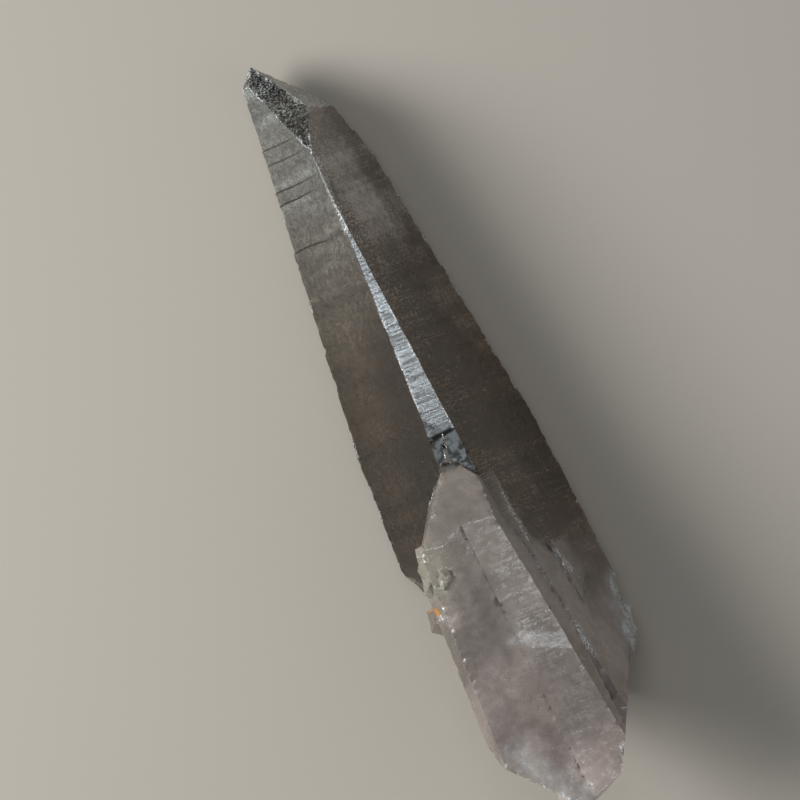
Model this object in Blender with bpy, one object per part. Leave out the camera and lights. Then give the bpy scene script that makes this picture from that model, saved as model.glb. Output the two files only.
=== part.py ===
"""Lemurian quartz crystal: a long smoky point with a second crystal grown along its front.

The tip points along +Y and the front looks along +Z. The crystal lies on its flat back face.
Points are in millimetres from the middle of the long point's back, and angles in degrees.
A face is given by its turn about the long axis, from the front towards the right, by its lean
towards the tip, and by one point that it passes through.
"""

import math

import bmesh
import bpy
from mathutils import Matrix, Vector

MM = 0.001
BLOCK = 400.0  # side of the rough block that each crystal is cut from
ORIGIN = Vector((6.8, 2.45, 0.0))  # under the middle of the finished crystal
RHOMB_LEAN = 38.2  # of a quartz termination face to the long axis

# The long point: its front, left and right faces, then the corners that the others pass through
FRONT_FACE = (0, 6.0, Vector((0, 0, 42.0)))
LEFT_FACE = (-60, 3.0, Vector((0, 0, 42.0)))
RIGHT_FACE = (60, 8.3, Vector((7.0, -2.0, 42.2)))
LOWER_LEFT_FACE = (-120, 4.7, Vector((-19.0, 2.0, 8.9)))
LOWER_RIGHT_FACE = (120, 8.0, Vector((27.2, -5.4, 8.2)))
BACK_FACE = (180, 0, Vector((0, 0, 0)))
RIGHT_SHOULDER = Vector((14.2, 73.1, 8.0))
TIP = Vector((-7.0, 104.9, 11.3))
LEFT_BREAK = Vector((-17.0, -32.5, 10.0))
LOWER_BREAK = Vector((-2.0, -66.0, 8.0))
RIGHT_BREAK = Vector((31.0, -65.8, 15.0))

# The second crystal, on the front of the long point
SECOND_FRONT = (-2, 2.5, Vector((-2.0, -50.0, 50.0)))
SECOND_APEX = Vector((3.0, -7.4, 43.2))
SECOND_LEFT_X, SECOND_RIDGE_X = -12.9, 11.5  # edges of its front, halfway down
FLANK_WIDTH = 2.3  # of its left flank, seen from the front, before the side turns under
SECOND_BACK = 24.0  # height of its hidden back
BASE_Y = -98.6  # its broken base

# The narrow crystal between the second one and the long point's right face
NARROW_RIDGE = Vector((16.0, -50.0, 44.4))
NARROW_FRONT = (0, 1.6, NARROW_RIDGE)
NARROW_FLANK = (65.0, 9.1, NARROW_RIDGE)
NARROW_SHOULDER = (66.0, 13.9, Vector((7.4, -12.6, 43.4)))

# A low step down the second crystal's front, with a bright ramp across it
STEP_X = 1.3
STEP_DROP, RAMP_DROP = 0.7, 0.35
RAMP_Y = -56.0
RAMP_LEAN = 7.0

FRONT_END_Y, FRONT_END_LEAN = 2.0, 1.0  # where a crack ends the bright front face

# Growth ledges: height along the axis, depth, reach towards the tip, and the two places across
# the face where the ledge has faded to nothing and where it has its full depth
LEFT_LEDGES = (
    (83.9, 0.35, 9.0, -12.0, -24.0),
    (79.9, 0.30, 3.8, -9.0, -26.0),
    (72.7, 0.45, 7.0, -6.0, -24.0),
    (69.4, 0.35, 3.1, -2.0, -22.0),
    (56.7, 0.50, 12.0, 1.0, -24.0),
    (44.0, 0.30, 10.0, -9.0, -30.0),
    (30.0, 0.35, 12.0, -5.0, -30.0),
    (12.0, 0.30, 14.0, -13.0, -36.0),
    (-12.0, 0.35, 12.0, -20.0, -38.0),
)
RIGHT_LEDGES = (
    (80.4, 0.40, 5.0, -8.0, 10.0),
    (66.5, 0.45, 9.0, -6.0, 16.0),
    (52.4, 0.50, 12.0, -2.0, 20.0),
    (40.7, 0.45, 10.0, 10.0, 26.0),
    (27.0, 0.45, 12.0, 8.0, 30.0),
    (13.4, 0.60, 5.0, 22.0, 36.0),
    (4.0, 0.35, 8.0, 15.0, 36.0),
    (-16.0, 0.35, 14.0, 18.0, 40.0),
)
BACK_LEDGES = (
    (70.0, 0.30, 8.0, 6.0, -14.0),
    (46.0, 0.35, 10.0, -8.0, 14.0),
    (8.0, 0.30, 10.0, 10.0, -18.0),
    (-28.0, 0.35, 12.0, -16.0, 20.0),
)
LOWER_LEFT_LEDGES = (
    (64.0, 0.30, 9.0, 6.0, -8.0),
    (36.0, 0.35, 12.0, -8.0, 6.0),
    (-8.0, 0.30, 12.0, 8.0, -6.0),
)
LOWER_RIGHT_LEDGES = (
    (58.0, 0.30, 10.0, -6.0, 8.0),
    (22.0, 0.35, 12.0, 8.0, -6.0),
    (-30.0, 0.35, 14.0, -8.0, 8.0),
)
LEDGE_CUT = Vector((70.0, 6.0, 6.0))  # the cutter's length past the fade, its spare reach and height

SMOKY_COLOUR = (0.36, 0.32, 0.28, 1.0)
QUARTZ_IOR = 1.544


def direction(turn, lean):
    """Outward direction of the face with this turn and lean."""
    turn, lean = math.radians(turn), math.radians(lean)
    return Vector((math.sin(turn) * math.cos(lean), math.sin(lean), math.cos(turn) * math.cos(lean)))


def on_face(face, x, y, above=0.0):
    """The point of a face at x and y, raised by a height along Z."""
    turn, lean, point = face
    outward = direction(turn, lean)
    slope = (outward.x * (x - point.x) + outward.y * (y - point.y)) / outward.z
    return Vector((x, y, point.z - slope + above))


def add_object(name, bm, collection):
    """Link a mesh given in millimetres as an object in metres, moved to the final origin."""
    bm.transform(Matrix.Scale(MM, 4) @ Matrix.Translation(-ORIGIN))
    bmesh.ops.recalc_face_normals(bm, faces=bm.faces[:])
    if bm.calc_volume(signed=True) < 0:
        bmesh.ops.reverse_faces(bm, faces=bm.faces[:])
    mesh = bpy.data.meshes.new(name)
    bm.to_mesh(mesh)
    bm.free()
    obj = bpy.data.objects.new(name, mesh)
    collection.objects.link(obj)
    return obj


def cut_block(name, faces, collection):
    """A convex crystal: a block cut by one plane for each (turn, lean, point) face."""
    bm = bmesh.new()
    bmesh.ops.create_cube(bm, size=BLOCK)
    for turn, lean, point in faces:
        cut = bmesh.ops.bisect_plane(
            bm,
            geom=bm.verts[:] + bm.edges[:] + bm.faces[:],
            dist=1e-4,
            plane_co=Vector(point),
            plane_no=direction(turn, lean),
            clear_outer=True,
        )
        rim = [part for part in cut["geom_cut"] if isinstance(part, bmesh.types.BMEdge)]
        bmesh.ops.edgenet_fill(bm, edges=rim)
    return add_object(name, bm, collection)


def scoop(name, turn, lean, point, radius, depth, collection):
    """A round cutter that bites depth into the surface at point: a conchoidal break."""
    segments = 24
    centre = Vector(point) + direction(turn, lean) * (radius - depth)
    bm = bmesh.new()
    bmesh.ops.create_uvsphere(bm, u_segments=segments, v_segments=segments // 2, radius=radius)
    bm.transform(Matrix.Translation(centre))
    return add_object(name, bm, collection)


def lump(name, centre, size, tilt, collection):
    """A small blunt crystal that stands out of the surface, tilted about the front direction."""
    bm = bmesh.new()
    bmesh.ops.create_icosphere(bm, subdivisions=1, radius=1.0)
    turned = Matrix.Rotation(math.radians(tilt), 4, Vector((0.3, 0.4, 1.0)))
    place = Matrix.Translation(Vector(centre)) @ turned @ Matrix.Diagonal(Vector(size).to_4d())
    bm.transform(place)
    return add_object(name, bm, collection)


def ledge_cutter(name, face, ledge, collection):
    """A wedge that drops the face at the ledge and runs out to nothing nearer the tip."""
    turn, lean, point = face
    height, depth, reach, faded, full = ledge
    outward = direction(turn, lean)
    sideways = Vector((0, 1, 0)).cross(outward).normalized()
    uphill = outward.cross(sideways).normalized()
    corner = point + uphill * ((height - point.y) / uphill.y) + sideways * faded
    pitch = math.atan2(depth, reach)
    fade = math.atan2(depth, abs(full - faded))
    along = sideways * math.copysign(math.cos(fade), full - faded) - outward * math.sin(fade)
    floor_up = uphill * math.cos(pitch) + outward * math.sin(pitch)
    size = LEDGE_CUT + Vector((0, reach, 0))
    axes = Matrix((along, floor_up, outward)).transposed().to_4x4()
    bm = bmesh.new()
    bmesh.ops.create_cube(bm, size=1.0)
    bm.transform(
        Matrix.Translation(corner) @ axes @ Matrix.Translation(size / 2) @ Matrix.Diagonal(size.to_4d())
    )
    return add_object(name, bm, collection)


def long_point_faces():
    """Prism faces, the faces that close the right side in, the termination and the broken end."""
    prism = [
        FRONT_FACE,
        LEFT_FACE,
        RIGHT_FACE,
        LOWER_LEFT_FACE,
        (-120, -2.5, LOWER_LEFT_FACE[2]),
        LOWER_RIGHT_FACE,
        (120, 0.7, LOWER_RIGHT_FACE[2]),
        (120, 24.5, RIGHT_SHOULDER),
        BACK_FACE,
    ]
    termination = [
        (0, RHOMB_LEAN, TIP),
        (67.5, 42.0, TIP),
        (-60, RHOMB_LEAN, TIP + Vector((0, 0.7, 0))),
        (-120, 40.0, TIP + Vector((0, 0.4, 0))),
        (120, 41.5, TIP + Vector((0, 0.3, 0))),
        (180, RHOMB_LEAN, TIP + Vector((0, 0.5, 0))),
    ]
    broken_end = [
        (-106, -20.0, LEFT_BREAK),
        (-140, -38.0, LOWER_BREAK),
        (90, -44.0, RIGHT_BREAK),
        (97, -31.0, (25.0, -75.3, 20.0)),
    ]
    return prism + termination + broken_end


def second_crystal_faces():
    """The broad front, its termination, flanks, hidden back and broken base."""
    left = on_face(SECOND_FRONT, SECOND_LEFT_X, -50.0)
    ridge = on_face(SECOND_FRONT, SECOND_RIDGE_X, -50.0)
    left_flank = (-62, 1.2, left)
    right_flank = (58, 9.4, ridge)
    turned_under = on_face(left_flank, left.x - FLANK_WIDTH, -50.0)
    return [
        SECOND_FRONT,
        (0, 17.0, SECOND_APEX),
        left_flank,
        right_flank,
        (-85, 35.2, SECOND_APEX + Vector((-3.0, -0.2, 0.3))),
        (0, 60.0, SECOND_APEX),
        (58, RHOMB_LEAN, SECOND_APEX + Vector((2.5, -1.9, 0))),
        (-122, -1.2, turned_under),
        (122, 0, NARROW_RIDGE),
        (180, 0, (0, 0, SECOND_BACK)),
        (-88, -43.0, (-6.0, -91.3, 40.0)),
        (-100, -20.0, (-13.6, -78.0, 40.0)),
        (70, -66.0, (8.3, BASE_Y, 40.0)),
        (90, -27.0, (15.6, -91.0, 40.0)),
        (180, -35.0, (4.0, BASE_Y - 1.0, 45.0)),
    ]


def narrow_crystal_faces():
    """The narrow front, the right flank that runs into the long point, and the broken base."""
    return [
        NARROW_FRONT,
        NARROW_FLANK,
        NARROW_SHOULDER,
        (10, 25.0, NARROW_SHOULDER[2] + Vector((0.8, -0.9, 0.2))),
        (120, 0.7, LOWER_RIGHT_FACE[2] + Vector((-0.9, 0, 0))),
        (-90, 0, (0, -50, 30)),
        (180, 0, (16, -50, 12)),
        (90, -31.0, (24.6, -75.3, 30.0)),
        (90, -27.0, (18.4, -85.6, 36.0)),
        (60, -58.0, (15.5, -92.0, 40.0)),
        (180, -30.0, (16.0, -88.0, 34.0)),
    ]


def sliver_faces():
    """A thin short crystal that lies on the narrow one's flank."""
    turn, lean, _ = NARROW_FLANK
    crest = on_face(NARROW_FLANK, 19.6, -40.0, 1.2)
    return [
        (turn, lean, crest),
        (12, 9.0, crest),
        (62, 44.0, crest + Vector((-1.2, 4.2, 0.6))),
        (118, 2.0, crest + Vector((5.5, 0, -9.0))),
        (80, -14.0, crest + Vector((2.2, -9.0, 0))),
        (-90, 0, crest + Vector((-6.0, 0, 0))),
        (180, -60.0, crest + Vector((0, -30.0, 0))),
        (180, 0, crest + Vector((0, 0, -14.0))),
    ]


def step_cutter_faces(drop):
    """A cutter that drops the right part of the second crystal's front."""
    turn, lean, _ = SECOND_FRONT
    foot = on_face(SECOND_FRONT, STEP_X, -50.0, -drop)
    return [
        (turn + 180, -lean, foot),
        (-90, -4.6, foot),
        (90, 4.6, foot + Vector((30, 0, 0))),
        (0, 0, foot + Vector((0, 0, 12))),
    ]


def ramp_cutter_faces():
    """A deeper drop above the ramp, with the ramp as its lower end."""
    ramp_foot = on_face(SECOND_FRONT, STEP_X, RAMP_Y, -STEP_DROP)
    return step_cutter_faces(STEP_DROP + RAMP_DROP) + [(180, -RAMP_LEAN, ramp_foot)]


def front_end_faces():
    """A cutter that tilts the narrow front face back where it meets the second crystal."""
    start = on_face(FRONT_FACE, 3.0, FRONT_END_Y)
    return [
        (174, -FRONT_END_LEAN, start),
        (150, -8.0, start + Vector((0, -3.0, 0.1))),
        (0, 0, start + Vector((0, 0, 8))),
    ]


def join(obj, operation, operand):
    """A live Boolean of one object or of a collection."""
    modifier = obj.modifiers.new(operation.lower() + "_" + operand.name, "BOOLEAN")
    modifier.operation = operation
    modifier.solver = "EXACT"
    if isinstance(operand, bpy.types.Collection):
        modifier.operand_type = "COLLECTION"
        modifier.collection = operand
    else:
        modifier.object = operand


def new_collection(name, parent):
    collection = bpy.data.collections.new(name)
    parent.children.link(collection)
    return collection


def quartz():
    """Clear smoky quartz."""
    material = bpy.data.materials.new("smoky_quartz")
    material.use_nodes = True
    shader = material.node_tree.nodes["Principled BSDF"]
    shader.inputs["Base Color"].default_value = SMOKY_COLOUR
    shader.inputs["Roughness"].default_value = 0.12
    shader.inputs["Metallic"].default_value = 0.0
    shader.inputs["IOR"].default_value = QUARTZ_IOR
    shader.inputs["Transmission Weight"].default_value = 1.0
    return material


def add_growths(collection):
    """The crystals and lumps grown together with the long point."""
    cut_block("second_crystal", second_crystal_faces(), collection)
    cut_block("narrow_crystal", narrow_crystal_faces(), collection)
    cut_block("sliver", sliver_faces(), collection)
    lump("upper_lump", (-11.6, -27.5, 46.0), (3.0, 4.6, 3.0), 20, collection)
    lump("middle_lump", (-9.0, -33.5, 47.8), (4.2, 3.0, 2.4), 75, collection)
    lump("edge_lump", (-13.4, -34.0, 45.0), (2.4, 4.0, 4.0), -15, collection)
    lump("lower_lump", (-12.6, -43.0, 38.0), (5.6, 5.0, 8.0), 35, collection)


def add_ledges(collection):
    """Growth ledges across every face of the long point, and the end of its narrow front."""
    faces = (
        ("left", LEFT_FACE, LEFT_LEDGES),
        ("right", RIGHT_FACE, RIGHT_LEDGES),
        ("back", BACK_FACE, BACK_LEDGES),
        ("lower_left", LOWER_LEFT_FACE, LOWER_LEFT_LEDGES),
        ("lower_right", LOWER_RIGHT_FACE, LOWER_RIGHT_LEDGES),
    )
    for side, face, ledges in faces:
        for number, ledge in enumerate(ledges):
            ledge_cutter(f"{side}_ledge_{number}", face, ledge, collection)
    cut_block("front_end", front_end_faces(), collection)


def add_breaks(collection):
    """The low step and ramp, and the conchoidal hollows of the broken ends and chipped edges."""
    cut_block("step", step_cutter_faces(STEP_DROP), collection)
    cut_block("ramp", ramp_cutter_faces(), collection)
    scoop("left_break_top", -106, -20, (-16.4, -36.0, 20.0), 16.0, 1.3, collection)
    scoop("left_break_low", -106, -20, (-9.5, -49.0, 13.0), 24.0, 2.6, collection)
    scoop("lower_break", -140, -38, (2.0, -68.0, 9.0), 26.0, 2.8, collection)
    scoop("base_left", -88, -43, (-6.0, -91.3, 40.0), 15.0, 1.4, collection)
    scoop("base_corner", -80, -30, (-12.2, -82.0, 44.0), 6.0, 0.6, collection)
    scoop("base_middle", 150, -60, (3.0, -97.0, 36.0), 12.0, 1.8, collection)
    scoop("base_under", -150, -50, (-6.0, -88.0, 30.0), 14.0, 2.0, collection)
    scoop("base_notch", 20, -70, (6.5, -99.0, 50.0), 3.0, 1.1, collection)
    scoop("base_right", 78, -50, (12.0, -95.5, 42.0), 9.0, 1.3, collection)
    scoop("right_break", 90, -44, (29.8, -66.6, 18.0), 9.0, 1.2, collection)
    scoop("corner_chip", 75, -10, (30.6, -52.0, 14.5), 7.0, 0.7, collection)
    scoop("corner_break", 85, -25, (31.0, -60.5, 15.5), 4.0, 0.6, collection)
    scoop("right_notch", 90, 10, (24.2, 15.0, 8.0), 2.6, 0.9, collection)


def main():
    for obj in list(bpy.data.objects):
        bpy.data.objects.remove(obj)
    scene = bpy.context.scene.collection
    finished = new_collection("lemurian_quartz_crystal", scene)
    guides = new_collection("cutters", scene)
    growths = new_collection("growths", guides)
    ledges = new_collection("ledges", guides)
    breaks = new_collection("breaks", guides)

    crystal = cut_block("quartz_crystal", long_point_faces(), finished)
    crystal.data.materials.append(quartz())
    add_growths(growths)
    add_ledges(ledges)
    add_breaks(breaks)
    join(crystal, "DIFFERENCE", ledges)
    for growth in growths.objects:
        join(crystal, "UNION", growth)
    join(crystal, "DIFFERENCE", breaks)
    for guide in guides.all_objects:
        guide.hide_render = True
        guide.display_type = "WIRE"


main()
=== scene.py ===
"""The looks of a smoky lemurian quartz crystal, lying on a pale floor and seen from above."""

import math
from types import SimpleNamespace

import bmesh
import bpy
from mathutils import Matrix, Vector, noise
from mathutils.bvhtree import BVHTree


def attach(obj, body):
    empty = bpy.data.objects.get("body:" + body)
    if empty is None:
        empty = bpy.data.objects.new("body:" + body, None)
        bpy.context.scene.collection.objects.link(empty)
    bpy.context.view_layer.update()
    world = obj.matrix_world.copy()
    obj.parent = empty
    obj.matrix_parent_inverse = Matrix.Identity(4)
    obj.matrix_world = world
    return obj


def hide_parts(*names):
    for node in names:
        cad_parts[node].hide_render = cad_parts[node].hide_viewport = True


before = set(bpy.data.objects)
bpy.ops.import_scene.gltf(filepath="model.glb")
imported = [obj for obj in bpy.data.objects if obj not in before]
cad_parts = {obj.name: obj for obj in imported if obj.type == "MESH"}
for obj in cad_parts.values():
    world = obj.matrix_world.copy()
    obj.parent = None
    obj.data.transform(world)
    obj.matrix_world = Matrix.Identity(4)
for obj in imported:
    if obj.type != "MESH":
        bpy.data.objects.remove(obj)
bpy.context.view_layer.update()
MM = 0.001

# The body is one intergrown piece of natural quartz: a long point, and a second crystal along
# its front. It grew in steps, so fine ledges run across every side of it, square to its length.
# The mesh is the solid cut into thin rings, with those ledges, worn ridges and rippled breaks.
RING, STRIP = 0.6, 1.25  # mm between the cuts across the crystal, and along it
TERRACES = ((3.4, 0.13, 11.0), (1.5, 0.05, 47.0))  # mm between ledges, mm deep, noise offset
RIDGE_WEAR, BREAK_RIPPLE, PITTING = 0.32, 0.10, 0.05  # mm deep
FLAT_TURN, SHARP_TURN = math.radians(0.2), math.radians(16)  # less is one face, more a sharp edge
RIDGE_TURN = math.radians(14)  # two faces that turn this much meet in a ridge
LEDGE_FACE = 0.4  # a face that leans more than this to the long axis has no ledges
BASE_BREAK, TIP_START = -78.0, 84.0  # between them the crystal has its ledges
FRONT_LEDGES = 0.14  # how deep the ledges are on faces that look to the front, beside the others
STEP_AT, STEP_ALONG = (-7.7, -23.85), (0.081, -0.9967)  # the low step on the second crystal's front
STEP_DROP, STEP_SLOPE, STEP_WIDE = 0.68, 0.0181, 6.0  # mm deep, deeper per mm, and how wide it fades
RAMP_DROP, RAMP_AT = 0.35, -57.0  # how much deeper it is above the ramp, and the ramp's place
STEP_FRONT, STEP_SOFT, STEP_PASSES = 0.040, 1.6, 12  # the wall lies above this height, and is smoothed
FRONT_END_Y = -3.5  # middle of the dull end of the bright front face
SECOND_FRONT = Vector((-0.0349, 0.0436, 0.9984))
SECOND_MIDDLE = Vector((-8.8, -52.45, 50.0))
# Outward direction of the long point's left, right and front faces, and their way from the middle
LONG_POINT_FACES = (
    (Vector((-0.8647, 0.0526, 0.4995)), 26.73),
    (Vector((0.857, 0.1444, 0.4948)), 20.41),
    (Vector((0, 0.1045, 0.9945)), 41.5),
)
# Marks of the surface as seen from above: start, end, reach aside and lowest height, in mm
# The sparkles are painted highlights: white glints painted along worn ridges and the base rim.
SPARKLES = (
    ((5.2, -21.5), (7.0, -34.5), 0.9, 20),
    ((12.2, -40.1), (14.2, -46.0), 1.1, 20),
    ((9.8, -58.2), (11.3, -67.5), 1.1, 20),
    ((-7.0, 74.5), (-6.9, 54.0), 0.9, 20),
    ((-21.1, -44.4), (-20.7, -45.0), 1.2, 30),
    ((25.4, -66.8), (24.9, -63.5), 1.6, 9),
    ((9.7, -91.0), (11.1, -98.2), 1.5, 20),
    ((7.5, -101.0), (-1.0, -101.5), 1.3, 20),
)
CREAM_LUMPS = (((-18.5, -27.7), (-17.5, -36.0), 5.5, 38),)
PALE_CORNER = (((24.6, -54.0), (23.5, -70.0), 5.0, 9),)
PALE_RIM = (((-17.0, -82.0), (-3.0, -101.4), 4.0, 34),)
RUST = (((-22.1, -42.7), (-21.7, -43.3), 1.7, 30),)
# The bright band is a painted highlight: a white mark where a rough face caught the light.
GLINT_BAND = (((-4.7, -54.5), (2.9, -54.7), 2.5, 40),)
MASKS = ("second", "cloud", "band", "patch", "bruised", "cream", "corner", "iron")


def cut_into_rings(bm, axis, step):
    """Cut all faces by planes a step apart along an axis."""
    places = [v.co[axis] for v in bm.verts]
    place, last = min(places) + step * MM, max(places)
    normal = Vector([float(n == axis) for n in range(3)])
    while place < last:
        everything = bm.verts[:] + bm.edges[:] + bm.faces[:]
        bmesh.ops.bisect_plane(bm, geom=everything, dist=1e-7, plane_co=normal * place, plane_no=normal)
        place += step * MM


def fade(value, low, high):
    """0 below low, 1 above high, and smooth between."""
    share = min(max((value - low) / (high - low), 0.0), 1.0)
    return share * share * (3 - 2 * share)


def terrace_depth(place, across):
    """How far the growth ledges sink the surface here, in mm."""
    depth = 0.0
    for length, deep, offset in TERRACES:
        wobble = noise.noise(Vector((across * 0.05, place.y * 0.02, offset)))
        steps = place.y / length + wobble * 1.6
        terrace = math.floor(steps)
        strength = abs(noise.noise(Vector((terrace * 3.7, offset, 0.5)))) * 2.4
        reach = noise.noise(Vector((across * 0.09, terrace * 5.1, offset)))
        depth += deep * min(strength, 1.3) * (1 - (steps - terrace)) * fade(reach, -0.25, 0.15)
    return depth


def beside_step(place):
    """How far a place is to the right of the low step, in mm."""
    return (STEP_AT[0] - place.x) * STEP_ALONG[1] - (STEP_AT[1] - place.y) * STEP_ALONG[0]


def step_depth(place):
    """How far the upper side of the low step, and the wall below it, sink to its foot, in mm."""
    aside = beside_step(place)
    height = SECOND_FRONT.dot(place - SECOND_MIDDLE)
    if not -1.6 < height < 0.2 or not -STEP_WIDE < aside < 0.5:
        return 0.0
    drop = STEP_DROP + STEP_SLOPE * max(RAMP_AT - place.y, 0.0)
    drop += RAMP_DROP * fade(place.y, RAMP_AT - 2, RAMP_AT + 2)
    return max(drop * (1 + min(aside + 0.2, 0.0) / STEP_WIDE) + height, 0.0)


def marked(place, marks):
    """How strongly the nearest of the marks shows at a place."""
    strongest = 0.0
    for start, end, reach, lowest in marks:
        start, end = Vector(start), Vector(end)
        along = min(max((place.xy - start).dot(end - start) / (end - start).length_squared, 0.0), 1.0)
        away = (place.xy - start - along * (end - start)).length
        here = (1 - fade(away, reach * 0.4, reach)) * fade(place.z, lowest, lowest + 5)
        strongest = max(strongest, here)
    return strongest


def looks_here(place, outward, on_ridge):
    """How strong each of the MASKS is at a place of the surface."""
    # The second crystal stands out of the long point's three front faces
    outside = max(out.dot(place) - way for out, way in LONG_POINT_FACES)
    second = fade(outside, 0.2, 0.9) * fade(-place.y, 6.0, 12.0)
    cloud = 0.5 + 0.5 * noise.fractal(place * 0.045, 1.0, 2.0, 3)
    band = 0.5 + 0.5 * noise.fractal(Vector((place.x * 0.02, place.y * 0.24, place.z * 0.02)), 1.0, 2.0, 2)
    aside = beside_step(place)
    # The patch is rough etching, whitened where it glints as painted highlight.
    patch = 0.75 * fade(noise.noise(Vector((place.x * 0.05, place.y * 0.03, 3.0))), -0.25, 0.1)
    patch = max(patch, 1.6 * marked(place, GLINT_BAND)) * second * fade(aside, -0.5, 2.5)
    # The white along the ridges is partly real chipped wear and partly painted glints; the sparkles add
    # painted glints.
    bruised = 0.15 + fade(noise.noise(place * 0.11), -0.1, 0.3) * (1 - 0.7 * second)
    bruised = max(bruised, 0.8 * fade(-place.y, 84, 90))
    bruised *= on_ridge * (fade(abs(aside), 1.0, 3.0) if place.y < -20 and place.z > 40 else 1.0)
    bruised *= fade(abs(place.y - FRONT_END_Y), 5, 6) if outward.z > 0.9 else 1.0
    bruised = max(bruised, 0.9 * marked(place, SPARKLES) * fade(outward.z, 0.1, 0.3))
    strayed = place + 1.8 * noise.noise_vector(place * 0.22)
    pale = max(marked(strayed, PALE_CORNER), 0.5 * marked(strayed, PALE_RIM))
    return second, cloud, band, patch, bruised, marked(strayed, CREAM_LUMPS), pale, marked(place, RUST)


def is_ledge(edge):
    """Whether the edge runs across the crystal, between its tip and its broken base."""
    start, end = (v.co for v in edge.verts)
    return BASE_BREAK < start.y / MM < TIP_START and abs((end - start).normalized().y) < 0.3


body = bmesh.new()
body.from_mesh(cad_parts["quartz_crystal"].data)
bmesh.ops.remove_doubles(body, verts=body.verts[:], dist=1e-6)
bmesh.ops.dissolve_limit(body, angle_limit=FLAT_TURN, verts=body.verts[:], edges=body.edges[:])
cut_into_rings(body, 1, RING)
cut_into_rings(body, 0, STRIP)
cut_into_rings(body, 2, STRIP)
bmesh.ops.triangulate(body, faces=body.faces[:])
bmesh.ops.remove_doubles(body, verts=body.verts[:], dist=2e-5)
body.normal_update()

masks = {name: body.verts.layers.float.new(name) for name in MASKS}
moves = []
for vert in body.verts:
    place = vert.co / MM
    outward = vert.normal
    turn = max((e.calc_face_angle(0.0) for e in vert.link_edges if not is_ledge(e)), default=0.0)
    on_ridge = fade(turn, RIDGE_TURN, RIDGE_TURN * 2)
    for name, share in zip(MASKS, looks_here(place, outward, on_ridge)):
        vert[masks[name]] = share
    across = place.x * outward.z - place.z * outward.x
    depth = 0.0
    if abs(outward.y) < LEDGE_FACE:
        depth += terrace_depth(place, across) * (FRONT_LEDGES if outward.z > 0.8 else 1.0)
    calm = FRONT_LEDGES if outward.z > 0.8 and place.y > 0 else 1.0
    rough = noise.noise(place * 0.9)
    depth += PITTING * fade(rough, 0.1, 0.6) * calm
    worn = noise.noise(place * 0.7 + Vector((5, 0, 9)))
    depth += on_ridge * RIDGE_WEAR * fade(worn, 0.0, 0.5) * calm
    if place.y < BASE_BREAK or outward.y < -0.2:
        ripple = noise.fractal(place * 0.35, 0.8, 2.0, 3)
        depth += BREAK_RIPPLE * (1 + ripple) * 0.5
    if place.z < 0.01:
        depth = 0.0
    moves.append(-outward * depth * MM - Vector((0, 0, step_depth(place) * MM)))
for vert, move in zip(body.verts, moves):
    vert.co += move
by_step = [v for v in body.verts if v.co.z > STEP_FRONT and abs(beside_step(v.co / MM)) < STEP_SOFT]
for _ in range(STEP_PASSES):
    bmesh.ops.smooth_vert(body, verts=by_step, factor=0.5, use_axis_z=True)
for vert in body.verts:
    vert.co.z = max(vert.co.z, 0.0)

mesh = bpy.data.meshes.new("quartz_body")
body.to_mesh(mesh)
body.free()
mesh.shade_smooth()
mesh.set_sharp_from_angle(angle=SHARP_TURN)
crystal = bpy.data.objects.new("quartz_body", mesh)
bpy.context.scene.collection.objects.link(crystal)


class Value:
    """An output of a material's nodes, to calculate with: an operator adds its Math node."""

    def __init__(self, tree, socket=None):
        self.tree = tree
        self.socket = socket

    def node(self, kind, settings=None, inputs=None, out=0):
        """Add a node, with its settings first and then a value or a link for each socket."""
        made = self.tree.nodes.new(kind)
        for name, setting in (settings or {}).items():
            setattr(made, name, setting)
        for name, given in (inputs or {}).items():
            if isinstance(given, Value):
                self.tree.links.new(given.socket, made.inputs[name])
            else:
                made.inputs[name].default_value = given
        return Value(self.tree, made.outputs[out] if made.outputs else None)

    def maths(self, operation, *numbers):
        return self.node("ShaderNodeMath", {"operation": operation}, dict(enumerate(numbers)))

    def parts(self):
        """The x, y and z of a vector."""
        return [self.node("ShaderNodeSeparateXYZ", inputs={0: self}, out=axis) for axis in range(3)]

    def __add__(self, other):
        return self.maths("ADD", self, other)

    def __radd__(self, other):
        return self.maths("ADD", other, self)

    def __sub__(self, other):
        return self.maths("SUBTRACT", self, other)

    def __rsub__(self, other):
        return self.maths("SUBTRACT", other, self)

    def __mul__(self, other):
        return self.maths("MULTIPLY", self, other)

    def __rmul__(self, other):
        return self.maths("MULTIPLY", other, self)

    def __abs__(self):
        return self.maths("ABSOLUTE", self)

    def __or__(self, other):
        """The larger of the two."""
        return self.maths("MAXIMUM", self, other)

    def between(self, low, high, start=0.0, end=1.0):
        """Start below low, end above high, and smooth between."""
        settings = {"interpolation_type": "SMOOTHSTEP"}
        inputs = {"Value": self, "From Min": low, "From Max": high, "To Min": start, "To Max": end}
        return self.node("ShaderNodeMapRange", settings, inputs)

    def mix(self, first, second):
        """A colour between two, by this share."""
        settings = {"data_type": "RGBA", "clamp_factor": True}
        return self.node("ShaderNodeMix", settings, {0: self, 6: first, 7: second}, out=2)

    def grain(self, scale, detail, rough, stretch=(1, 1, 1)):
        """Noise from 0 to 1 at this place, with about scale grains a metre."""
        placed = self.node("ShaderNodeMapping", inputs={"Vector": self, "Scale": stretch})
        sizes = {"Vector": placed, "Scale": scale, "Detail": detail, "Roughness": rough}
        return self.node("ShaderNodeTexNoise", inputs=sizes)
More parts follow.
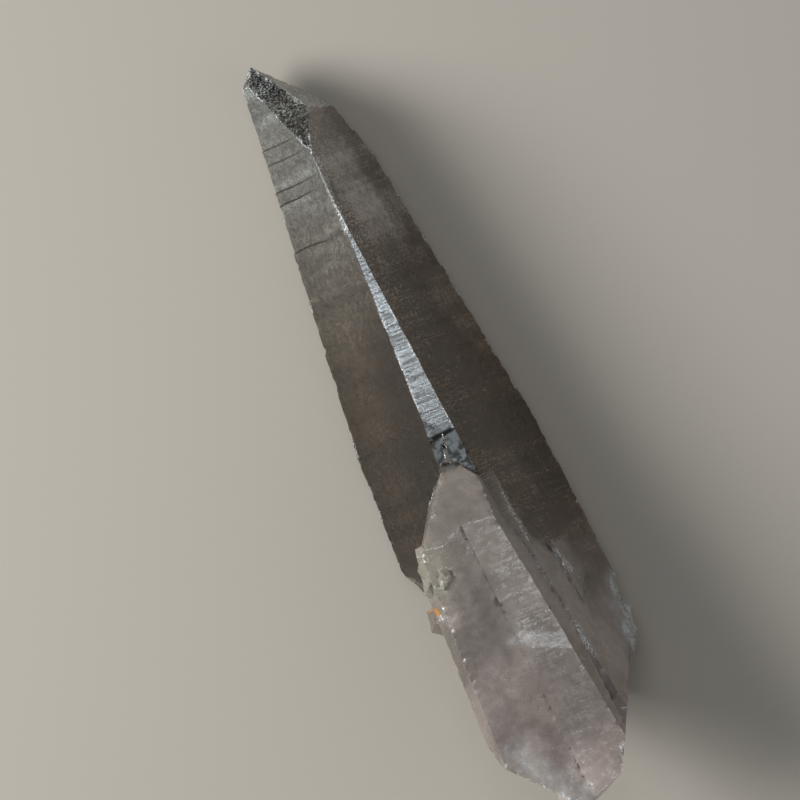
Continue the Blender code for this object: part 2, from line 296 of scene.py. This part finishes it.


# The quartz is smoky and clear inside. It is frosted by fine growth lines on the broad left side,
# finely mottled on the dark right side, milky in the second crystal and towards the base, and
# bruised white along its ridges. Painted light is mixed in: white glints on ridges, specks and the
# base rim, a painted highlight on a rough patch, a painted sheen on the narrow front face, and
# painted shade along the left side's front ridge and in the right side's browner glass.
IOR = 1.544
SMOKE_COLOUR, SMOKE_DENSITY = (0.50, 0.40, 0.26, 1.0), 40.0  # per metre of quartz
# The brown glass is the smoke colour, deepened as painted shade on the right side and along the left
# side's front ridge.
CLEAR, SMOKE_AND_SHADE_GLASS, DARK_GLASS = (1, 1, 1, 1), (0.11, 0.055, 0.022, 1.0), (0.02, 0.015, 0.01, 1)
FROST_GREY, WARM_FROST = (0.47, 0.50, 0.485, 1.0), (0.50, 0.475, 0.44, 1.0)
DARK_FROST, LIGHT_BROWN = (0.22, 0.15, 0.09, 1.0), (0.31, 0.225, 0.15, 1.0)
MILK, PINK_MILK = (0.47, 0.415, 0.37, 1.0), (0.56, 0.475, 0.44, 1.0)
# The bruise white is also the colour of the painted glints.
STRIP_FROST_AND_SHEEN, BRUISE_AND_GLINT_WHITE = (0.58, 0.66, 0.70, 1.0), (0.85, 0.88, 0.90, 1.0)
CREAM, IRON, CORNER_GREY = (0.60, 0.56, 0.46, 1.0), (0.55, 0.21, 0.01, 1.0), (0.62, 0.66, 0.67, 1.0)
# The rough white is partly a painted highlight on the rough patch.
ROUGH_GLINT_WHITE = (0.60, 0.59, 0.57, 1.0)
MOST_CLOUDY = 0.95  # the largest share of the surface that isn't clear
BUMP_STRENGTH, BUMP_DEEP = 0.3, 0.0004
# Height of each dark line in metres along the axis, and its strength
LEDGE_LINES = (
    (0.08145, 0.7),
    (0.07745, 0.8),
    (0.07025, 0.9),
    (0.06695, 1.0),
    (0.05425, 1.0),
)
LINE_EDGE, LINE_CORE = 0.00034, 0.00010  # half of a dark line's width, and of its darkest part


def quartz_surface(start):
    """Where each kind of face, level, grain and mark is on the crystal, as shares from 0 to 1."""
    place = start.node("ShaderNodeTexCoord", out=3)
    x, y, z = place.parts()
    face_x, face_y, face_z = start.node("ShaderNodeNewGeometry", out=3).parts()
    at = SimpleNamespace(y=y, z=z, face_x=face_x)
    for name in MASKS:
        setattr(at, name, start.node("ShaderNodeAttribute", {"attribute_name": name}, out=2))
    long_point = 1 - at.second

    # The grain of the surface, and the growth lines across it
    at.mottle = place.grain(420, 2.0, 0.7)
    at.speck = place.grain(2300, 1.0, 0.6)
    at.grit = place.grain(2000, 2.0, 0.7)
    at.gritty = at.grit.between(0.46, 0.56)
    at.lines = place.grain(60, 2.0, 0.8, (0.5, 20, 0.5))
    at.thin = abs(at.lines - 0.5).between(0.0, 0.03)
    at.comb = place.grain(60, 2.0, 0.7, (1.2, 36, 1.2)).between(0.42, 0.58)

    # The sides, the levels along the axis and the heights above the floor
    at.left_side = (0 - face_x).between(0.55, 0.8)
    at.right_side = face_x.between(0.55, 0.8)
    at.tip_side = face_y.between(0.42, 0.55)
    at.up_high = y.between(0.0, 0.09)
    at.middle = y.between(0.015, 0.055)
    at.low_down = y.between(-0.025, -0.09)
    at.milked = y.between(-0.022, -0.060)
    at.base = y.between(-0.076, -0.090)
    at.edge = z.between(0.024, 0.010)
    at.crest = z.between(0.020, 0.036)
    at.pale_band = z.between(0.034, 0.028) * z.between(0.013, 0.020)

    # The narrow front face, its dull lower end, and the crack across it there
    at.front = face_z.between(0.965, 0.98) * long_point * y.between(-0.004, 0.000)
    at.strip_end = face_z.between(0.93, 0.97) * long_point * y.between(0.001, -0.001) * (1 - at.milked)
    at.strip_crack = abs(y + 0.0018 + (at.cloud - 0.5) * 0.004).between(0.0009, 0.0003)
    at.strip_crack = at.strip_crack * face_z.between(0.93, 0.97) * long_point
    notch = (0 - face_x).between(0.25, 0.40) * face_z.between(0.78, 0.84) * long_point
    at.dull_end = (at.strip_end | notch * y.between(0.004, 0.0)) * y.between(-0.001, -0.004)

    # Dark lines where the strongest ledges cross the left side
    wavy = y + (at.cloud - 0.5) * 0.0016
    at.dark_line = at.left_side * 0
    for height, strength in LEDGE_LINES:
        across_line = abs(wavy - height).between(LINE_EDGE, LINE_CORE)
        at.dark_line = at.dark_line | across_line * strength
    at.dark_line = at.dark_line * at.left_side * x.between(-0.008, -0.015, 0.25, 1.0)

    # The marks, broken up by the grain; white specks and the whitened base rim are painted glints
    # The rough patch is partly etched frost and partly painted highlight.
    at.rough_patch = at.patch * at.comb * at.gritty * face_z.between(0.97, 0.985)
    at.bruise = at.bruised * at.speck.between(0.44, 0.58) + at.speck.between(0.70, 0.76) * 0.4
    at.bruise = at.bruise + at.gritty * at.mottle.between(0.54, 0.64) * at.base * 0.45
    at.stained = at.iron * at.mottle.between(0.40, 0.55)
    at.paled = at.corner * 0.95 * at.mottle.between(0.35, 0.65, 0.6, 1.0)
    at.paled = at.paled * at.gritty.between(0, 1, 0.75, 1.0)
    at.creamy = at.cream * 0.45 * at.gritty.between(0, 1, 0.7, 1.0)
    return at


def frosted(at):
    """How frosted the sides of the long point are, with painted shade along the left ridge and painted
    sheen on the front strip.
    """
    left = at.left_side * (0.10 + 0.21 * at.up_high) * (1 - 0.4 * at.edge * (1 - at.up_high))
    # Less frost near the front ridge, outside the middle, is painted shade along that ridge.
    left = left * (1 - 0.7 * at.crest * (1 - at.middle)) * at.thin.between(0, 1, 0.75, 1.0)
    left = left * (1 + (at.gritty - 0.45) * (0.65 + 0.75 * (1 - at.up_high)))
    grained = (0.22 + 0.34 * at.crest * (0.6 + at.up_high)) * at.gritty * at.comb.between(0, 1, 0.5, 1.15)
    grained = grained + 0.45 * at.grit.between(0.5, 0.58) * at.crest * at.y.between(0.040, 0.062)
    misty = at.cloud.between(0.48, 0.60) * (1 - 0.5 * at.crest)
    fog = 0.55 * at.pale_band * at.y.between(0.040, 0.064) * at.y.between(0.082, 0.070, 0.5, 1.0)
    fog = fog + (0.03 + 0.10 * at.middle) * at.edge + 0.13 * misty
    right = at.right_side * (fog + grained)
    # Grit specks on the tip faces are partly real frost and partly painted glints.
    tip = at.tip_side * (0.02 + 0.20 * at.face_x.between(0.3, 0.6) + 0.45 * at.grit.between(0.5, 0.60))
    # Bluish frost on the narrow front face: partly real frost, partly painted sheen of the light it
    # mirrors.
    strip_frost_and_sheen = at.front * 0.36 * at.y.between(0.002, 0.020, 0.6, 1.1)
    strip_frost_and_sheen = strip_frost_and_sheen * at.comb.between(0, 1, 0.45, 1.0) * at.speck.between(0.36, 0.46)
    end = at.strip_end * at.mottle.between(0.42, 0.6, 0.04, 0.22)
    frost = left + right + tip + strip_frost_and_sheen + end
    frost = frost * at.band.between(0.35, 0.65, 0.75, 1.25) * at.mottle.between(0.3, 0.7, 0.7, 1.3)
    return frost * (1 - at.dark_line) * (1 - at.strip_crack)


def milky(at):
    """How milky the second crystal and the lower end are."""
    milk = at.second * (0.40 + 0.20 * at.right_side) + 0.2 * at.rough_patch + at.base * 0.20
    milk = milk + at.milked * (1 - at.second) * (0.34 + 0.16 * at.right_side)
    return milk * at.cloud.between(0.35, 0.65, 0.72, 1.14) * at.mottle.between(0.3, 0.7, 0.9, 1.08)


def cloudy_tint(at):
    """The colour of the share that isn't clear."""
    low_frost = at.right_side.mix(DARK_FROST, LIGHT_BROWN)
    high_frost = at.right_side.mix(FROST_GREY, WARM_FROST)
    tint = at.up_high.mix(low_frost, high_frost)
    # The front face's bluish grey is partly a painted sheen.
    tint = (at.front | at.strip_end).mix(tint, STRIP_FROST_AND_SHEEN)
    tint = (at.second | at.milked).mix(tint, at.low_down.mix(MILK, PINK_MILK))
    tint = at.rough_patch.mix(tint, ROUGH_GLINT_WHITE)
    tint = (at.cream * 0.8).mix(tint, CREAM)
    tint = (at.paled * 1.2).mix(tint, CORNER_GREY)
    # White of the bruises, partly painted glints
    tint = at.bruise.mix(tint, BRUISE_AND_GLINT_WHITE)
    return at.stained.mix(tint, IRON)


def glass_tint(at, etched):
    """The colour of the see-through share: browner low down, smoke brown deepened as painted shade on the
    right side and the left ridge, and granular where it is etched.
    """
    # Browner glass along the left side's front ridge, outside the middle, is painted shade; near the floor
    # it is the brown edge.
    edge_brown_and_ridge_shade = 0.55 + 0.4 * (at.z.between(0.015, 0.010) | at.crest * (1 - at.middle))
    # The right side's see-through share is brown smoke deepened as painted shade.
    smoke_and_shade = at.right_side * 0.97 + at.left_side * (1 - at.up_high) * edge_brown_and_ridge_shade + at.dark_line
    dark = etched * 0.8 * (1 - at.gritty) | at.strip_end | at.dull_end
    return dark.mix(smoke_and_shade.mix(CLEAR, SMOKE_AND_SHADE_GLASS), DARK_GLASS)


def mattness(at):
    """How rough the surface is for light."""
    matt = 0.03 + at.mottle.between(0.35, 0.8, 0.0, 0.12) + at.second * 0.14 + at.left_side * 0.08
    matt = matt + at.front * (0.05 + 0.16 * (1 - at.comb)) + at.strip_end * 0.2 + at.strip_crack * 0.5
    return matt + at.dull_end * 0.5


def smoky_quartz():
    """The material of the whole crystal: clear smoky quartz with a share that is cloudy."""
    material = bpy.data.materials.new("smoky_quartz")
    material.cycles.homogeneous_volume = True
    material.use_nodes = True
    material.node_tree.nodes.clear()
    start = Value(material.node_tree)
    at = quartz_surface(start)
    etched = at.right_side * at.crest + at.tip_side
    matt = mattness(at)
    relief = at.lines * (0.6 - 0.5 * at.second) * (1 - 0.7 * at.front) + at.grit * (0.15 + 0.6 * etched)
    bump = start.node(
        "ShaderNodeBump",
        inputs={"Strength": BUMP_STRENGTH, "Distance": BUMP_DEEP, "Height": relief},
    )
    clear = start.node(
        "ShaderNodeBsdfPrincipled",
        inputs={
            "Base Color": glass_tint(at, etched),
            "Roughness": matt,
            "IOR": IOR,
            "Transmission Weight": 1.0,
            "Normal": bump,
        },
    )
    cloudy = start.node(
        "ShaderNodeBsdfPrincipled",
        inputs={"Base Color": cloudy_tint(at), "Roughness": matt, "IOR": IOR, "Normal": bump},
    )
    shown = frosted(at) | milky(at) | at.bruise | at.paled | at.creamy | at.stained
    shown = start.maths("MINIMUM", shown, MOST_CLOUDY)
    surface = start.node("ShaderNodeMixShader", inputs={0: shown, 1: clear, 2: cloudy})
    smoke = start.node(
        "ShaderNodeVolumeAbsorption", inputs={"Color": SMOKE_COLOUR, "Density": SMOKE_DENSITY}
    )
    start.node("ShaderNodeOutputMaterial", inputs={"Surface": surface, "Volume": smoke})
    return material


mesh.materials.clear()
mesh.materials.append(smoky_quartz())
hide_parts("quartz_crystal")
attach(crystal, "root")

# Milky veils hang inside the crystal: clouds of tiny bubbles that the growing quartz shut in,
# thickest in the second crystal and towards the broken base. Each is a thin bent sheet.
# Each veil's middle x, y and z, half length and half width in mm, turn about the axis and lean in degrees
VEILS = (
    (-1.0, -58.0, 44.5, 40.0, 14.0, 0, 3),
    (-9.0, -50.0, 40.0, 42.0, 10.0, -20, 4),
    (-2.0, -45.0, 36.0, 46.0, 16.0, 8, 6),
    (4.0, -68.0, 33.0, 34.0, 16.0, -6, 8),
    (-6.0, -72.0, 38.0, 26.0, 12.0, 12, -4),
    (10.0, -52.0, 27.0, 40.0, 16.0, 30, 8),
    (0.0, -30.0, 20.0, 40.0, 22.0, -14, 10),
    (5.0, 10.0, 22.0, 46.0, 13.0, 34, 2),
)
VEIL_BEND, VEIL_STEP = 2.2, 2.0  # mm
VEIL_WHITE = (0.84, 0.80, 0.77, 1.0)
VEIL_COVER, VEIL_FULL = 1.0, 4.0  # mm of quartz over a veil where it ends, and where it is thickest
skin = BVHTree.FromPolygons([v.co for v in mesh.vertices], [p.vertices for p in mesh.polygons])


def quartz_over(place):
    """How deep a place lies inside the crystal, in mm, and less than 0 outside it."""
    away = skin.find_nearest(place)[3]
    above = skin.ray_cast(place, Vector((0, 0, 1)))[1]
    return (away if above and above.z > 0 else -away) / MM


def veil(number, x, y, z, half_long, half_wide, turn, lean):
    """A sheet bent by noise, thick in its middle and thinning out to its rim and to the surface."""
    bm = bmesh.new()
    bmesh.ops.create_grid(
        bm,
        x_segments=round(half_wide * 2 / VEIL_STEP),
        y_segments=round(half_long * 2 / VEIL_STEP),
        size=1.0,
    )
    thick = bm.verts.layers.float.new("thick")
    for vert in bm.verts:
        from_middle = vert.co.xy.length
        vert[thick] = 1 - fade(from_middle, 0.25, 0.95)
        vert.co.x *= half_wide
        vert.co.y *= half_long
        vert.co.z = VEIL_BEND * noise.noise(Vector((vert.co.x * 0.06, vert.co.y * 0.04, number * 7.3)))
    turned = Matrix.Rotation(math.radians(turn), 4, "Y") @ Matrix.Rotation(-math.radians(lean), 4, "X")
    bm.transform(Matrix.Scale(MM, 4) @ Matrix.Translation((x, y, z)) @ turned)
    depths = {vert: quartz_over(vert.co) for vert in bm.verts}
    for vert, depth in depths.items():
        vert[thick] *= fade(depth, VEIL_COVER, VEIL_FULL)
    bmesh.ops.delete(bm, geom=[v for v, d in depths.items() if d < VEIL_COVER], context="VERTS")
    bmesh.ops.delete(bm, geom=[v for v in bm.verts if not v.link_faces], context="VERTS")
    sheet = bpy.data.meshes.new(f"milk_veil_{number}")
    bm.to_mesh(sheet)
    bm.free()
    sheet.shade_smooth()
    piece = bpy.data.objects.new(f"milk_veil_{number}", sheet)
    bpy.context.scene.collection.objects.link(piece)
    return piece


def veil_milk():
    """The material of the veils: wisps and specks of white in nothing."""
    material = bpy.data.materials.new("milk_veil")
    material.use_nodes = True
    material.node_tree.nodes.clear()
    start = Value(material.node_tree)
    place = start.node("ShaderNodeTexCoord", out=3)
    thick = start.node("ShaderNodeAttribute", {"attribute_name": "thick"}, out=2)
    wisps = place.grain(90, 4, 0.6, (1, 0.6, 1))
    dust = place.grain(1700, 2, 0.5)
    cover = thick * wisps.between(0.42, 0.72) * 0.5 + thick * dust.between(0.64, 0.74) * 0.3
    milk = start.node(
        "ShaderNodeBsdfPrincipled",
        inputs={"Base Color": VEIL_WHITE, "Roughness": 0.7, "Specular IOR Level": 0.1, "Alpha": cover},
    )
    start.node("ShaderNodeOutputMaterial", inputs={"Surface": milk})
    return material


milk = veil_milk()
for number, shape in enumerate(VEILS):
    piece = veil(number, *shape)
    piece.data.materials.append(milk)
    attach(piece, "root")

# The floor that the crystal lies on is a plain pale sheet, wide enough to fill the picture. The
# camera looks straight down on it, with the crystal's tip towards the upper left.
FLOOR_ACROSS, FLOOR_GAP, FLOOR_ROUGH = 6.0, 0.0002, 0.8
FLOOR_COLOUR = (0.47, 0.44, 0.39, 1.0)
sheet = bmesh.new()
bmesh.ops.create_grid(sheet, x_segments=1, y_segments=1, size=FLOOR_ACROSS / 2)
bmesh.ops.translate(sheet, verts=sheet.verts[:], vec=(0, 0, -FLOOR_GAP))
floor_mesh = bpy.data.meshes.new("floor")
sheet.to_mesh(floor_mesh)
sheet.free()
floor = bpy.data.objects.new("floor", floor_mesh)
bpy.context.scene.collection.objects.link(floor)
pale = bpy.data.materials.new("pale_floor")
pale.use_nodes = True
pale_shader = pale.node_tree.nodes["Principled BSDF"]
pale_shader.inputs["Base Color"].default_value = FLOOR_COLOUR
pale_shader.inputs["Roughness"].default_value = FLOOR_ROUGH
floor_mesh.materials.append(pale)

AIM = Vector((-0.0101, 0.0098, 0.025))
UP = Vector((0.371, 0.928, 0.0)).normalized()
CAMERA_AWAY, FRAME_WIDTH, SENSOR = 2.0, 0.2025, 36.0
camera_data = bpy.data.cameras.new("camera")
camera_data.sensor_width = SENSOR
camera_data.lens = SENSOR * CAMERA_AWAY / FRAME_WIDTH
camera = bpy.data.objects.new("camera", camera_data)
back = Vector((0, 0, 1))
camera.matrix_world = (
    Matrix.Translation(AIM + back * CAMERA_AWAY)
    @ Matrix((UP.cross(back), UP, back)).transposed().to_4x4()
)
bpy.context.scene.collection.objects.link(camera)
bpy.context.scene.camera = camera

# A large soft lamp up to the left lights the crystal, and a weak one fills the right. A narrow
# one almost overhead is mirrored as the bright streak on the narrow front face.
ROOM_COLOUR, ROOM_STRENGTH = (0.97, 0.97, 1.0, 1.0), 0.18


def soft_lamp(name, place, size, watts, colour):
    """A rectangular soft lamp that faces the crystal."""
    lamp = bpy.data.lights.new(name, "AREA")
    lamp.shape = "RECTANGLE"
    lamp.size, lamp.size_y = size
    lamp.energy = watts
    lamp.color = colour
    holder = bpy.data.objects.new(name, lamp)
    place = Vector(place)
    holder.location = place
    holder.rotation_euler = (AIM - place).to_track_quat("-Z", "Y").to_euler()
    bpy.context.scene.collection.objects.link(holder)


soft_lamp("streak_lamp", (-0.004, 0.22, 0.98), (0.30, 0.18), 1.05, (0.86, 0.94, 1.0))
soft_lamp("key_lamp", (-0.80, 0.30, 0.65), (0.5, 0.5), 11.5, (1.0, 0.99, 0.96))
soft_lamp("fill_lamp", (0.7, -0.6, 1.0), (0.8, 0.8), 1.0, (1.0, 0.96, 0.90))
world = bpy.data.worlds.new("soft_room")
world.use_nodes = True
world.node_tree.nodes["Background"].inputs["Color"].default_value = ROOM_COLOUR
world.node_tree.nodes["Background"].inputs["Strength"].default_value = ROOM_STRENGTH
bpy.context.scene.world = world
bpy.context.scene.view_settings.view_transform = "Standard"
